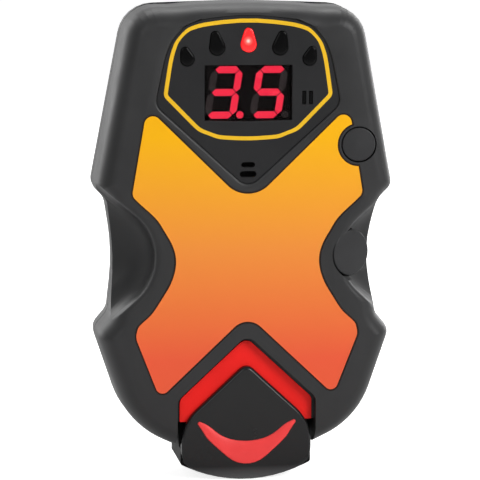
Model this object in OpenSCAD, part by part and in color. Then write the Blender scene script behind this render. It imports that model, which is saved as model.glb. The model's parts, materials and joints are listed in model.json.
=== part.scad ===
// Avalanche transceiver, standing upright with the search slider pulled out.
// Flat drawing frame: x to the right, y up the case, z out of the front face.
// stand() turns that frame upright, so the face looks along -Y and the top end points to +Z.

/* [Case] */
// Overall thickness, front face to back
case_t = 28; // [27:0.5:31]
// Height of the parting line, measured forward from mid thickness
parting = -2; // [-2.5:0.1:-1.5]
// Height of the top edge above the foot of the pulled slider
case_top = 131.5; // [131:0.5:138]
// Height of the bottom edge of the case
case_foot = 8.7; // [8.2:0.1:9]
// Width across the upper bulges
bulge_w = 82; // [81:0.5:88]
// Width across the lower bulges
hip_w = 81.4; // [80.5:0.5:87]
// Width across the waist
waist_w = 71; // [70:0.5:74]
// Width between the top corners
shoulder_w = 64; // [62:0.5:68]
// Wall of both shells
wall = 2.2; // [2:0.1:2.5]
// Reach of the rounded front edge across the face
front_round_w = 5; // [3.5:0.5:5.5]
// Depth of the rounded front edge
front_round_t = 8; // [6:0.5:9]
// Reach of the rounded back edge across the back
back_round_w = 4; // [3:0.5:4.5]
// Depth of the rounded back edge
back_round_t = 6; // [4:0.5:7]

/* [Finger scoops] */
// Distance of each scoop's centre from the middle
scoop_x = 40.3; // [40:0.1:41]
// Height of the scoops' centre
scoop_y = 62.3; // [61.5:0.1:63]
// Radius of the scooped bowl inside its lip
scoop_r = 13.7; // [13.2:0.1:14]
// Depth of the bowl under the lip
scoop_depth = 11.8; // [11:0.1:12]
// Rounding of the scoop's lip
lip_r = 1.8; // [1.2:0.1:2]
// Angle of the scoop's upper arm above level
scoop_up = 34; // [32:1:37]
// Angle of the scoop's lower arm below level
scoop_down = 40; // [37:1:42]

/* [Face] */
// Thickness of the face label
label_t = 0.35; // [0.2:0.05:0.5]
// Depth of the shield-shaped display recess
shield_depth = 1; // [0.8:0.1:1.1]
// Thickness of the dark display film
film_t = 0.5; // [0.4:0.05:0.65]
// Reach of the rounded rim round the recess
rim_w = 1.1; // [0.8:0.1:1.4]
// Width of the border line on the film
border_w = 1.1; // [0.8:0.1:1.4]
// Display window width
window_w = 24; // [22:0.5:25]
// Display window height
window_h = 15; // [14.6:0.2:15.4]
// Height of the middle of the display
display_y = 107; // [106.5:0.1:107.5]
// Width of one direction light
light_w = 4.2; // [3.8:0.1:4.4]
// Length of one direction light
light_l = 6.5; // [6:0.1:6.7]

/* [Buttons] */
// Diameter of the round mode button
mode_d = 9.3; // [8.5:0.1:9.6]
// Travel of the mode button
mode_travel = 0.8; // [0.5:0.1:1]
// Diameter of the side button
side_d = 12.8; // [12:0.1:13]
// Travel of the side button
side_travel = 1; // [0.6:0.1:1.2]
// Lean of the side button away from straight ahead
side_lean = 30; // [27:1:33]

/* [Search slider] */
// Width of the slider cap
cap_w = 36.2; // [35:0.2:37]
// Room between cap and well on each side
well_gap = 1.1; // [0.8:0.1:1.2]
// Travel from pulled out to pushed in
slide_travel = 7.2; // [6:0.1:7.4]
// Height of the point where the well's two sloping edges would meet
notch_top = 40.8; // [40.5:0.1:41.2]
// Fall of the well's sloping edges for each millimetre outward
notch_fall = 0.93; // [0.9:0.01:0.96]
// Room left above the cap when it is pushed in
push_gap = 0.8; // [0.6:0.1:1]
// Thickness of the slider cap
cap_t = 1.8; // [1.5:0.1:2.1]
// Thickness of the red chevron plate
flag_t = 0.7; // [0.5:0.1:0.9]
// How far the slider reaches back from mid thickness
slider_back = 7.5; // [6:0.1:8]

/* [Batteries and back] */
// Cell diameter
cell_d = 10.5; // [10:0.1:10.6]
// Cell length with its nub
cell_l = 44.5; // [43:0.5:45]
// Distance between cell centres
cell_pitch = 11; // [10.8:0.1:11.2]
// Thickness of the battery door
door_t = 2.1; // [1.8:0.1:2.3]
// Diameter of the power knob
knob_d = 18.4; // [17:0.2:19]
// Depth of the knob's pocket
knob_pocket = 4.5; // [4.2:0.1:4.8]
// Diameter of the knob's shaft
shaft_d = 5; // [4:0.1:5.5]
// Diameter of the leash pin
pin_d = 3; // [2.5:0.1:3.2]
// Length of the leash pocket along the pin
leash_l = 12; // [11:0.5:12.5]
// Width of the leash pocket across the pin
leash_w = 12; // [11.5:0.5:12.5]

/* [Fits] */
// Clearance round pieces that slide or press
slide_fit = 0.3; // [0.2:0.05:0.4]
// Clearance round pieces that are laid in a pocket
inlay_fit = 0.15; // [0.1:0.05:0.25]
// Radial running clearance of the knob's shaft
shaft_fit = 0.05; // [0.02:0.01:0.1]
// Thickness of the gasket between the shells
gasket_t = 0.5; // [0.4:0.1:0.7]

/* [Hidden] */
$fn = 48;

// Levels through the thickness
over = 1;
face_z = case_t / 2;
back_z = -case_t / 2;
front_base = parting + gasket_t / 2;
rear_base = parting - gasket_t / 2;
front_in = face_z - wall - 0.2;
back_in = back_z + wall;
film_z = face_z - shield_depth;
film_top = film_z + film_t;

// Outline of the case, right half from the foot up, each point with its corner radius.
// Rounding takes a little off each bulge, so their corners lie corner_over outside the width.
corner_over = 0.45;
case_half = [
    [18.6, case_foot, 4],
    [32.4, case_foot + 6.5, 24],
    [hip_w / 2 + corner_over, 40.9, 4],
    [waist_w / 2 + 1.5, 45.7, 4],
    [waist_w / 2 - 0.3, 61.6, 60],
    [waist_w / 2 + 2.2, 77.2, 6],
    [bulge_w / 2 + corner_over, 80.9, 3.6],
    [shoulder_w / 2, case_top - 1.1, 10],
    [0, case_top, 120]];

// Label outline, right half, an X between the display and the slider
label_half = [
    [0, 46, 5],
    [24.2, 23.1, 2.2],
    [31, 40.6, 2.5],
    [16.6, 61, 12],
    [32, 79.2, 2.5],
    [27.8, 103.9, 2.6],
    [0, 76.8, 7.8]];

// Display recess, right half, a shield whose point lies under the speaker slots
shield_half = [
    [0, 80.9, 4],
    [25.4, 103.8, 4],
    [20.9, case_top - 5.6, 6.5],
    [0, case_top - 3.1, 60]];

// Centre line of the display border, right half
border_half = [
    [11.4, 95, 9],
    [22.6, 106.4, 1.8],
    [19.9, case_top - 6.9, 5],
    [0, case_top - 4.6, 60]];

// Places on the face
mode_at = [bulge_w / 2 - 10.5, 92.7];
// Each light with its place, turn and scale
light_at = [[0, 121.2, 0, 1], [8.6, 120.4, -10, 1], [16.7, 117.2, -20, 0.88]];
bar_at = [[15.3, 105.6], [17.15, 105.6]];
bar_size = [0.8, 3.4];
bar_depth = 2;
slot_at = [[0, 87.5, 3.8, 1.5], [0, 84.9, 4.6, 1.7]];
speaker_at = [0, 86];
speaker_r = 10.5;
speaker_t = 3.4;
speaker_seal_t = 0.6;

// Circuit board and what stands on it
board_t = 1.6;
board_z = 1.8;
board_top = board_z + board_t;
board_half = [
    [15.5, 34, 2],
    [17.4, 50, 4],
    [17.4, 72, 4],
    [bulge_w / 2 - 10.5, 86, 1],
    [bulge_w / 2 - 6, 90.5, 1],
    [bulge_w / 2 - 7, 102, 2],
    [24, 114, 2],
    [24, case_top - 6.5, 2]];
post_at = [[28, 108], [12, 50]];
post_r = 2;
module_size = [25.1, 19];
module_top = front_in - 0.2;
digit_h = 14.2;
digit_w = 7.6;
digit_pitch = 12.2;
digit_slant = 9;
segment_w = 1.9;
segment_t = 0.3;

// Mode button and its switch
mode_flange_r = mode_d / 2 + 1.1;
mode_flange_t = 0.9;
stem_r = 1.5;
switch_w = 6;
switch_top = board_top + 3.8;

// Finger scoops
scoop_z = face_z - lip_r;

// Side button: place of its face in the right scoop, and distances inward from that face
side_x = scoop_x - 10.7;
side_z = face_z - 4.75;
side_thick = 5;
side_pocket = side_thick + side_travel + slide_fit;
side_boss_r = side_d / 2 + 2.3;
side_boss_end = side_pocket + 3;
side_switch_t = 4;
side_mouth = 6;
side_step = 1.2;
side_gap = 1.3;

// Slider and its well, heights with the slider pulled out
well_x = cap_w / 2 + well_gap;
cap_peak = notch_top - slide_travel - push_gap;
cap_top_z = face_z - 0.3;
cap_under = cap_top_z - cap_t;
flag_top = cap_under - slide_fit;
shelf_z = flag_top - flag_t;
shelf_t = 2;
shelf_foot = 16.4;
shelf_under = shelf_z - shelf_t;
tray_top = 20;
tray_front = shelf_under - 0.6;
block_top = shelf_foot - slide_travel - slide_fit;
well_back = -slider_back - 0.6;
well_top = tray_top + slide_travel + 0.8;
foot_r = 38;
foot_reach = cap_w / 2 - 1.6;
foot_fall = tan(asin(foot_reach / foot_r));
foot_drop = foot_r / cos(asin(foot_reach / foot_r)) - foot_r;
foot_band = 3.4;
cap_edge = 0.7;
cap_corner_r = 2.6;
foot_corner_r = 0.8;
rail_foot = 13.4;
rail_l = 4.6;
rail_w = 3;
rail_reach = 2.3;
flag_gap = 0.8;
crescent_half = [
    [0, 1.95, 8],
    [11.2, 11.9, 6],
    [15, 17.9, 0.5],
    [0, 7.4, 17]];
grip_depth = 1.2;
grip_proud = 0.25;
grip_edge = 0.4;
magnet_r = 2.5;
magnet_l = 3;
magnet_z = 2;
spring_t = 0.4;
spring_w = 6;
spring_l = 12;
spring_y = 17;
bump_r = 0.7;

// Battery bay, door and its screw
bay_x = cell_pitch + cell_d / 2 + slide_fit;
bay_foot = well_top + wall + 1.5;
bay_l = cell_l + 2.5;
bay_roof = -0.8;
bay_wall = 1.5;
ledge = 2.4;
door_x = bay_x + ledge;
door_foot = bay_foot - 2;
screw_y = bay_foot + bay_l + 5;
door_head = screw_y + 4.3;
door_gap = 0.25;
door_corner = 2.5;
groove_n = 5;
groove_y = door_foot + 7;
groove_pitch = 2.6;
groove_l = 20;
groove_w = 1.2;
groove_t = 0.5;
seal_t = 0.6;
flush_gap = 0.1;
door_z = back_z + flush_gap;
door_in = door_z + door_t;
ledge_z = door_in + seal_t;
slab_z = ledge_z + 2;
cell_z = bay_roof - slide_fit - cell_d / 2;
contact_t = 0.4;
contact_bump = 0.5;
screw_r = 1.75;
screw_head_r = 4.2;
screw_head_t = 1;
screw_end = -5.5;
insert_r = 3;
insert_z = [ledge_z + 0.2, -5.2];
insert_wall = 2.2;

// Power knob
knob_y = screw_y + 19.5;
knob_floor = back_z + knob_pocket;
knob_under = knob_floor - slide_fit;
knob_disc_t = 1.5;
knob_boss_r = knob_d / 2 + slide_fit + wall;
knob_wall = 2;
shaft_end = -5.2;
ring_r = 0.6;
ring_seat = 1.3;
switch_box = [12, 12, 5];

// Leash pocket, reached from the back
leash_at = [11.2 - hip_w / 2, 40];
leash_depth = 8.6;
pin_z = back_z + 1 + pin_d / 2;
pin_seat = 2.2;
leash_wall = 1.5;

// Case screws
case_screw_at = [[shoulder_w / 2 - 4, case_top - 10.5], [bulge_w / 2 - 6, 84.5], [hip_w / 2 - 9.7, 27]];
case_screw_r = 1.25;
case_head_r = 2.5;
case_head_t = 1.8;
case_seat = -9;
case_screw_end = 7;
case_boss_r = 3.2;

// Antennas, each a ferrite core in its winding, laid on the back wall
cross_r = [4, 5];
cross_l = [44, 30];
cross_y = case_top - 11;
long_r = [3.5, 4.5];
long_l = [46, 32];
long_at = [8.6 - waist_w / 2, 75];
depth_r = [4.5, 7];
depth_l = [9, 7];
depth_at = [bulge_w / 2 - 14, 101];

// Outline helpers
function unit(v) = v / norm(v);
function flat(p) = [p[0], p[1]];
function at(path, i) = path[(i + len(path)) % len(path)];
function inward(a, b) = let (d = unit(flat(b) - flat(a))) [-d[1], d[0]];
function mirrored(half) = concat(half,
    [for (i = [len(half) - 1 : -1 : 0]) if (half[i][0] > 0) [-half[i][0], half[i][1], half[i][2]]]);
function turned(v, a) = [v[0] * cos(a) - v[1] * sin(a), v[0] * sin(a) + v[1] * cos(a)];

// Points along an arc, both ends included
function arc(centre, r, from, to) =
    let (steps = max(4, ceil((to - from) / 12)))
    [for (k = [0 : steps]) let (a = from + (to - from) * k / steps) centre + r * [cos(a), sin(a)]];

// One rounded corner of a closed path, with the whole path moved inward by d
function corner(path, i, d) =
    let (n0 = inward(at(path, i - 1), at(path, i)),
        n1 = inward(at(path, i), at(path, i + 1)),
        bend = acos(max(-1, min(1, n0 * n1))),
        side = n0[0] * n1[1] - n0[1] * n1[0] >= 0 ? 1 : -1,
        r = max(path[i][2] - side * d, 0.3),
        centre = flat(path[i]) + (n0 + n1) / (1 + n0 * n1) * (d + side * r),
        steps = max(2, ceil(bend / (path[i][2] > 15 ? 5 : 13))))
    [for (k = [0 : steps]) centre - side * r * turned(n0, side * bend * k / steps)];
function outline(half, d = 0) =
    let (path = mirrored(half)) [for (i = [0 : len(path) - 1]) each corner(path, i, d)];

// Solid lofted through rings of points, each ring a list of points and its height
module skin(rings) {
    n = len(rings[0][0]);
    m = len(rings);
    points = [for (ring = rings) for (p = ring[0]) [p[0], p[1], ring[1]]];
    sides = [for (k = [0 : m - 2]) for (i = [0 : n - 1])
        let (j = (i + 1) % n, a = k * n, b = a + n)
        each [[a + i, b + i, b + j], [a + i, b + j, a + j]]];
    foot = [for (i = [0 : n - 1]) i];
    head = [for (i = [n - 1 : -1 : 0]) (m - 1) * n + i];
    polyhedron(points, concat([foot, head], sides), convexity = 6);
}

// Solid lofted through copies of one outline, each level an [inset, height]
module loft(half, levels) {
    skin([for (v = levels) [outline(half, v[0]), v[1]]]);
}

// Quarter round over an edge: [share across, share up] from the upright side to the flat top
quarter = [for (t = [0 : 22.5 : 90]) [1 - cos(t), sin(t)]];

module stand() {
    rotate([90, 0, 0]) children();
}

module slab(z0, z1) {
    translate([0, 0, z0]) linear_extrude(z1 - z0) children();
}

module rod(p, r, z0, z1) {
    translate([p[0], p[1], z0]) cylinder(r = r, h = z1 - z0);
}

module block(x0, x1, y0, y1, z0, z1) {
    translate([x0, y0, z0]) cube([x1 - x0, y1 - y0, z1 - z0]);
}

module both_sides() {
    children();
    mirror([1, 0, 0]) children();
}

module outlined(half, d = 0) {
    polygon(outline(half, d));
}

// Finger scoop: an elliptic bowl with two straight arms, under a rounded lip
function scoop_ring(r) =
    let (bowl = arc([scoop_x, scoop_y], r, 90 + scoop_up, 270 - scoop_down), reach = 3 * scoop_r)
    concat([bowl[0] + reach * [cos(scoop_up), sin(scoop_up)]], bowl,
        [bowl[len(bowl) - 1] + reach * [cos(scoop_down), -sin(scoop_down)]]);

module scoop() {
    skin(concat(
        [for (t = [10 : 10 : 80]) [scoop_ring(scoop_r * sin(t)), scoop_z - scoop_depth * cos(t)]],
        [for (q = quarter) [scoop_ring(scoop_r + lip_r * q[0]), scoop_z + (lip_r + skim) * q[1]]],
        [[scoop_ring(scoop_r + lip_r), face_z + over]]));
}

// Wall kept round a scoop, seen along the thickness
module scoop_keep() {
    polygon(scoop_ring(scoop_r + wall));
}

// Search slider outlines
function vee(peak, x, r, low) = [
    [x, low, 0.3],
    [x, peak - notch_fall * x, r],
    [0, peak, r]];

module notch_outline(inset = 0) {
    outlined(vee(notch_top, well_x, 3, -over), inset);
}

// Outline of the cap's right half, with its foot raised to curve away at the front
function cap_half(rise = 0) = [
    [0, rise - foot_drop, foot_r],
    [cap_w / 2, rise - foot_drop + foot_fall * cap_w / 2, foot_corner_r],
    [cap_w / 2, cap_peak - notch_fall * cap_w / 2, cap_corner_r],
    [0, cap_peak, cap_corner_r]];

module well() {
    block(-well_x, well_x, -over, well_top, well_back, shelf_under);
    block(-well_x, well_x, -over, shelf_foot, shelf_under - over, face_z + over);
    slab(shelf_z, face_z + over) notch_outline();
    rail_room = well_x + rail_reach - well_gap + slide_fit;
    block(-rail_room, rail_room, rail_foot - slide_fit, rail_foot + rail_l + slide_travel + slide_fit,
        parting - rail_w / 2 - slide_fit, parting + rail_w / 2 + slide_fit);
}

// Material kept round the well inside the case
well_keep_x = well_x + rail_reach + 1.2;
module well_keep() {
    block(-well_keep_x, well_keep_x, -over, well_top + wall, back_z, face_z);
    slab(shelf_under - wall, face_z) notch_outline(-wall);
}

// Direction lights, egg shapes with the narrow end up
tip_share = 0.58;
module teardrop(w, l) {
    r = w / 2;
    tip = tip_share * r;
    rise = l - r - tip;
    lean = asin((r - tip) / rise);
    polygon(concat(arc([0, 0], r, 180 - lean, 360 + lean), arc([0, rise], tip, lean, 180 - lean)));
}

module light_place(i) {
    drop = light_at[i][3] * (light_l - light_w) / 2;
    translate([light_at[i][0], light_at[i][1] - drop, 0]) rotate([0, 0, light_at[i][2]]) children();
}

module light_shape(i, fit = 0) {
    s = light_at[i][3];
    light_place(i) teardrop(s * light_w + 2 * fit, s * light_l + 2 * fit);
}

module light_shapes(fit = 0) {
    light_shape(0, fit);
    both_sides() for (i = [1, 2]) light_shape(i, fit);
}

module bars(grow = 0) {
    for (p = bar_at) translate(p) square(bar_size + 2 * [grow, grow], center = true);
}

module slots() {
    for (s = slot_at) {
        reach = [(s[2] - s[3]) / 2, 0];
        translate([s[0], s[1]])
            polygon(concat(arc(reach, s[3] / 2, -90, 90), arc(-reach, s[3] / 2, 90, 270)));
    }
}

// Side button axis: z runs outward from the button's face, so inward is negative
module side_axis() {
    translate([side_x, scoop_y, side_z]) rotate([0, side_lean, 0]) children();
}

module side_hole(r, depth, reach) {
    side_axis() translate([0, 0, -depth]) cylinder(r = r, h = depth + reach);
}

module case_screw_places() {
    both_sides() for (p = case_screw_at) translate([p[0], p[1], 0]) children();
}

module pcb_posts() {
    both_sides() for (p = post_at) rod(p, post_r, board_top, face_z);
}

module front_cavity() {
    difference() {
        slab(front_base - over, front_in) outlined(case_half, wall);
        slab(front_base - 2 * over, face_z) both_sides() scoop_keep();
        well_keep();
        case_screw_places() translate([0, 0, front_base - 2 * over]) cylinder(r = case_boss_r, h = case_t);
        pcb_posts();
        side_hole(side_boss_r, side_boss_end, 0);
    }
}

// Draft of the side walls, and how far the rounded edges run past the flat faces before these are cut
draft = 0.3;
skim = 0.05;
front_round = [for (t = [0 : 15 : 90])
    [draft + front_round_w * (1 - cos(t)), face_z + skim - front_round_t * (1 - sin(t))]];
back_round = [for (t = [90 : -18 : 0])
    [draft + back_round_w * (1 - cos(t)), back_z - skim + back_round_t * (1 - sin(t))]];

// Lofted solids are cut flat between two levels
module cut_flat(z0, z1) {
    intersection() {
        children();
        block(-bulge_w, bulge_w, -case_foot, case_top + over, z0, z1);
    }
}

module shield_rim() {
    rise = face_z + skim - film_top;
    loft(shield_half, concat([for (q = quarter) [-rim_w * q[0], film_top + rise * q[1]]],
        [[-rim_w, face_z + over]]));
}

module front_shell() {
    color([0.22, 0.22, 0.23]) stand() difference() {
        cut_flat(front_base, face_z) loft(case_half, concat([[0, front_base - over]], front_round));
        front_cavity();
        both_sides() scoop();
        slab(film_z, film_top + skim) outlined(shield_half);
        shield_rim();
        slab(face_z - label_t - 0.05, face_z + over) label_shape(-inlay_fit);
        lens_room(inlay_fit);
        slab(front_in - over, face_z) window();
        slab(front_in - over, face_z) light_shapes(inlay_fit);
        slab(front_in - over, face_z) bars(inlay_fit);
        slab(front_in - over, face_z) slots();
        rod(mode_at, mode_d / 2 + slide_fit, front_in - over, face_z + over);
        side_hole(side_d / 2 + slide_fit, side_pocket, side_mouth);
        side_hole(side_d / 2 + side_gap, side_step, side_mouth);
        side_hole(stem_r + slide_fit, side_boss_end + over, 0);
        side_axis() side_switch_block(slide_fit, side_switch_t + 3);
        well();
        case_screw_places() translate([0, 0, front_base - over])
            cylinder(r = case_screw_r + 0.02, h = case_screw_end + 1 - front_base + over);
    }
}

module rear_cavity() {
    difference() {
        slab(back_in, rear_base + over) outlined(case_half, wall);
        bay_solid();
        well_keep();
        case_screw_places() translate([0, 0, back_z]) cylinder(r = case_boss_r, h = case_t);
        rod([0, knob_y], knob_boss_r, back_z, knob_floor + knob_wall);
        leash_solid();
    }
}

module bay_solid() {
    block(-bay_x - bay_wall, bay_x + bay_wall, bay_foot - bay_wall, bay_foot + bay_l + bay_wall,
        back_z, bay_roof + bay_wall);
    block(-door_x - bay_wall, door_x + bay_wall, door_foot - bay_wall, door_head + bay_wall, back_z, slab_z);
    rod([0, screw_y], insert_r + insert_wall, back_z, insert_z[1] + 0.5);
}

module leash_room() {
    translate([leash_at[0], leash_at[1], back_z - over]) translate([-leash_w / 2, -leash_l / 2, 0])
        cube([leash_w, leash_l, leash_depth + over]);
}

module leash_solid() {
    grow = leash_wall + pin_seat;
    translate([leash_at[0], leash_at[1], back_z])
        translate([-leash_w / 2 - leash_wall, -leash_l / 2 - grow, 0])
            cube([leash_w + 2 * leash_wall, leash_l + 2 * grow, leash_depth + leash_wall]);
}

module leash_pin_shape(fit = 0) {
    translate([leash_at[0], leash_at[1] - leash_l / 2 - pin_seat, pin_z]) rotate([-90, 0, 0])
        cylinder(d = pin_d + 2 * fit, h = leash_l + 2 * pin_seat);
}

module rear_shell() {
    color([0.2, 0.2, 0.21]) stand() difference() {
        union() {
            difference() {
                cut_flat(back_z, rear_base) loft(case_half, concat(back_round, [[0, rear_base + over]]));
                rear_cavity();
            }
            block(-bay_x - bay_wall, bay_x + bay_wall, bay_foot - bay_wall, bay_foot + bay_l + bay_wall,
                rear_base - over, bay_roof + bay_wall);
        }
        block(-bay_x, bay_x, bay_foot, bay_foot + bay_l, back_z - over, bay_roof);
        slab(back_z - over, ledge_z) door_outline();
        rod([0, screw_y], insert_r, ledge_z - over, insert_z[1]);
        rod([0, knob_y], knob_d / 2 + slide_fit, back_z - over, knob_floor);
        rod([0, knob_y], shaft_d / 2 + shaft_fit, knob_floor - over, knob_floor + knob_wall + over);
        rod([0, knob_y], shaft_d / 2 + 2 * ring_r + 0.2, knob_floor - over, knob_floor + ring_seat);
        case_screw_places() {
            translate([0, 0, back_z - over]) cylinder(r = case_head_r + 0.4, h = case_seat - back_z + over);
            translate([0, 0, case_seat - over]) cylinder(r = case_screw_r + 0.2, h = case_t);
        }
        well();
        block(-spring_w / 2 - slide_fit, spring_w / 2 + slide_fit, spring_y - spring_l / 2 - slide_fit,
            spring_y + spring_l / 2 + slide_fit, well_back - 2.5 * spring_t, well_back + over);
        leash_room();
        leash_pin_shape();
    }
}

module shell_gasket() {
    seal_in = 1.7;
    seal_out = 0.5;
    frame_out = well_x + rail_reach + 0.9;
    frame_in = well_x + rail_reach - 0.3;
    color([0.06, 0.06, 0.06]) stand() slab(rear_base, front_base) difference() {
        union() {
            difference() {
                outlined(case_half, seal_out);
                outlined(case_half, seal_in);
            }
            intersection() {
                outlined(case_half, seal_out);
                translate([-frame_out, 0]) square([2 * frame_out, well_top + 1.8]);
            }
        }
        translate([-frame_in, -over]) square([2 * frame_in, well_top + 0.6 + over]);
    }
}

module case_screws() {
    color("silver") stand() case_screw_places() {
        translate([0, 0, case_seat - case_head_t]) difference() {
            cylinder(r = case_head_r, h = case_head_t);
            for (a = [0, 90]) rotate(a) translate([-0.4, -1.5, -over]) cube([0.8, 3, over + 0.9]);
        }
        translate([0, 0, case_seat]) cylinder(r = case_screw_r, h = case_screw_end - case_seat);
    }
}

module label_shape(d = 0) {
    difference() {
        outlined(label_half, d);
        translate(mode_at) circle(r = mode_d / 2 + slide_fit + 0.7 + d);
    }
}

module face_label() {
    color([0.98, 0.55, 0.15]) stand() slab(face_z - label_t - 0.05, face_z - 0.05) label_shape();
}

module window(grow = 0) {
    translate([0, display_y]) square([window_w + 2 * grow, window_h + 2 * grow], center = true);
}

// The window pane sits on a ledge cut round the display opening
pane_ledge = 0.8;
pane_t = 1;
module lens_room(fit = 0) {
    slab(film_z - pane_t, film_z + (fit > 0 ? over : 0)) window(pane_ledge + fit);
}

module border_shape() {
    difference() {
        outlined(border_half, -border_w / 2);
        outlined(border_half, border_w / 2);
    }
}

border_t = 0.25;
module display_bezel() {
    color([0.16, 0.16, 0.17]) stand() difference() {
        slab(film_z, film_top) outlined(shield_half, inlay_fit);
        slab(film_z - over, film_top + over) window();
        slab(film_z - over, film_top + over) light_shapes(inlay_fit);
        slab(film_z - over, film_top + over) bars(inlay_fit);
        slab(film_z - over, film_top + over) slots();
        slab(film_top - border_t, film_top + over) border_shape();
    }
}

module window_border() {
    color([0.93, 0.75, 0.2]) stand() slab(film_top - border_t, film_top) border_shape();
}

module display_lens() {
    color([0.1, 0.02, 0.03]) stand() lens_room();
}

// Seven-segment digits: a to g are the bars from the top round to the middle
digit_bars = [
    [0, 0.5, 0], [0.5, 0.25, 90], [0.5, -0.25, 90], [0, -0.5, 0],
    [-0.5, -0.25, 90], [-0.5, 0.25, 90], [0, 0, 0]];
digit_three = [0, 1, 2, 3, 6];
digit_five = [0, 2, 3, 5, 6];

function slanted(p) = [p[0] + p[1] * tan(digit_slant), p[1]];
module segment(bar) {
    reach = bar[2] == 0 ? digit_w - segment_w : (digit_h - segment_w) / 2;
    half = reach / 2 - 0.15;
    tip = segment_w / 2;
    centre = [bar[0] * (digit_w - segment_w), bar[1] * (digit_h - segment_w)];
    points = [[-half, 0], [tip - half, tip], [half - tip, tip], [half, 0], [half - tip, -tip],
        [tip - half, -tip]];
    polygon([for (p = points) slanted(centre + (bar[2] == 0 ? p : [p[1], p[0]]))]);
}

module digit_place(s) {
    translate([s * digit_pitch / 2, display_y]) children();
}

module point_shape() {
    translate([digit_w / 2 + 0.1, -digit_h / 2 + 1]) circle(r = 1);
}

module lit_shape() {
    digit_place(-1) {
        for (i = digit_three) segment(digit_bars[i]);
        point_shape();
    }
    digit_place(1) for (i = digit_five) segment(digit_bars[i]);
}

module dark_shape() {
    digit_place(-1) for (i = [0 : 6]) if (len(search(i, digit_three)) == 0) segment(digit_bars[i]);
    digit_place(1) {
        for (i = [0 : 6]) if (len(search(i, digit_five)) == 0) segment(digit_bars[i]);
        point_shape();
    }
}

module display_module() {
    color([0.05, 0.05, 0.05]) stand() difference() {
        slab(board_top, module_top) translate([0, display_y]) square(module_size, center = true);
        slab(module_top - segment_t, module_top + over) {
            lit_shape();
            dark_shape();
        }
    }
}

module lit_segments() {
    color([1, 0.15, 0.25]) stand() slab(module_top - segment_t, module_top) lit_shape();
}

module dark_segments() {
    color([0.15, 0.05, 0.06]) stand() slab(module_top - segment_t, module_top) dark_shape();
}

// Each light is a clear peg from its emitter to just above the film
emitter_h = 4;
emitter_w = 2.4;
light_proud = 0.15;
peg_z = [board_top + emitter_h + 0.1, film_top + light_proud];
module centre_light() {
    color([1, 0.1, 0.1]) stand() slab(peg_z[0], peg_z[1]) light_shape(0);
}

module side_lights() {
    color([0.13, 0.13, 0.13]) stand() slab(peg_z[0], peg_z[1]) both_sides() for (i = [1, 2]) light_shape(i);
}

module indicator_bars() {
    color([0.1, 0.1, 0.1]) stand() slab(front_in - bar_depth, film_top) bars();
}

module light_emitter(i) {
    light_place(i) slab(board_top, board_top + emitter_h) square(emitter_w, center = true);
}

module light_emitters() {
    color([0.9, 0.9, 0.85]) stand() {
        light_emitter(0);
        both_sides() for (i = [1, 2]) light_emitter(i);
    }
}

module speaker() {
    color([0.75, 0.65, 0.35]) stand() difference() {
        rod(speaker_at, speaker_r, front_in - speaker_seal_t - speaker_t, front_in - speaker_seal_t);
        rod(speaker_at, speaker_r - 1.5, front_in - speaker_seal_t - 0.8, front_in);
    }
}

module speaker_seal() {
    color([0.1, 0.1, 0.1]) stand() difference() {
        rod(speaker_at, speaker_r, front_in - speaker_seal_t, front_in);
        rod(speaker_at, speaker_r - 1.5, front_in - speaker_seal_t - over, front_in + over);
    }
}

// Round button with its stem: radii and heights from the stem's end to the rounded rim
module turned_button(r, rim, stem_end, under, top, flange_r = 0, flange_top = 0, dish = 0) {
    collar = flange_r > 0 ? [[flange_r, under], [flange_r, flange_top], [r, flange_top]] : [[r, under]];
    rotate_extrude() polygon(concat([[0, stem_end], [stem_r, stem_end], [stem_r, under]], collar,
        [for (q = quarter) [r - rim * q[0], top - rim + rim * q[1]]], [[0, top - dish]]));
}

mode_top = face_z - 0.15;
mode_rim = 0.4;
mode_dish = 0.3;
module mode_button() {
    flange_z = front_in - 0.2;
    color([0.15, 0.15, 0.16]) stand() translate([mode_at[0], mode_at[1], 0])
        turned_button(mode_d / 2, mode_rim, switch_top - 0.6, flange_z - mode_flange_t, mode_top,
            mode_flange_r, flange_z, mode_dish);
}

module mode_switch() {
    color([0.3, 0.3, 0.32]) stand() difference() {
        slab(board_top, switch_top) translate(mode_at) square(switch_w, center = true);
        rod(mode_at, stem_r + slide_fit, switch_top - 0.6 - mode_travel - slide_fit, switch_top + over);
    }
}

side_stem_end = side_boss_end + side_switch_t - side_travel - 1;
side_rim = 0.5;
module side_button() {
    color([0.17, 0.17, 0.18]) stand() side_axis()
        turned_button(side_d / 2, side_rim, -side_stem_end, -side_thick, 0);
}

side_switch_w = 7;
module side_switch_block(fit, depth) {
    w = side_switch_w + 2 * fit;
    translate([-w / 2, -w / 2, -side_boss_end - depth]) cube([w, w, depth]);
}

module side_switch() {
    color([0.3, 0.3, 0.32]) stand() side_axis() difference() {
        side_switch_block(0, side_switch_t);
        translate([0, 0, -side_stem_end - side_travel - slide_fit])
            cylinder(r = stem_r + slide_fit, h = side_switch_t + over);
    }
}

module search_flag() {
    peak = notch_top - flag_gap * sqrt(1 + pow(notch_fall, 2));
    side = well_x - flag_gap;
    lower = cap_peak - 4.5;
    inner = (lower - shelf_foot - slide_fit) / notch_fall;
    color([0.93, 0.12, 0.12]) stand() slab(shelf_z, flag_top) difference() {
        outlined(vee(peak, side, 2.6, shelf_foot));
        polygon([[0, lower], [-inner - 1, lower - notch_fall * (inner + 1)],
            [inner + 1, lower - notch_fall * (inner + 1)]]);
    }
}

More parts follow.
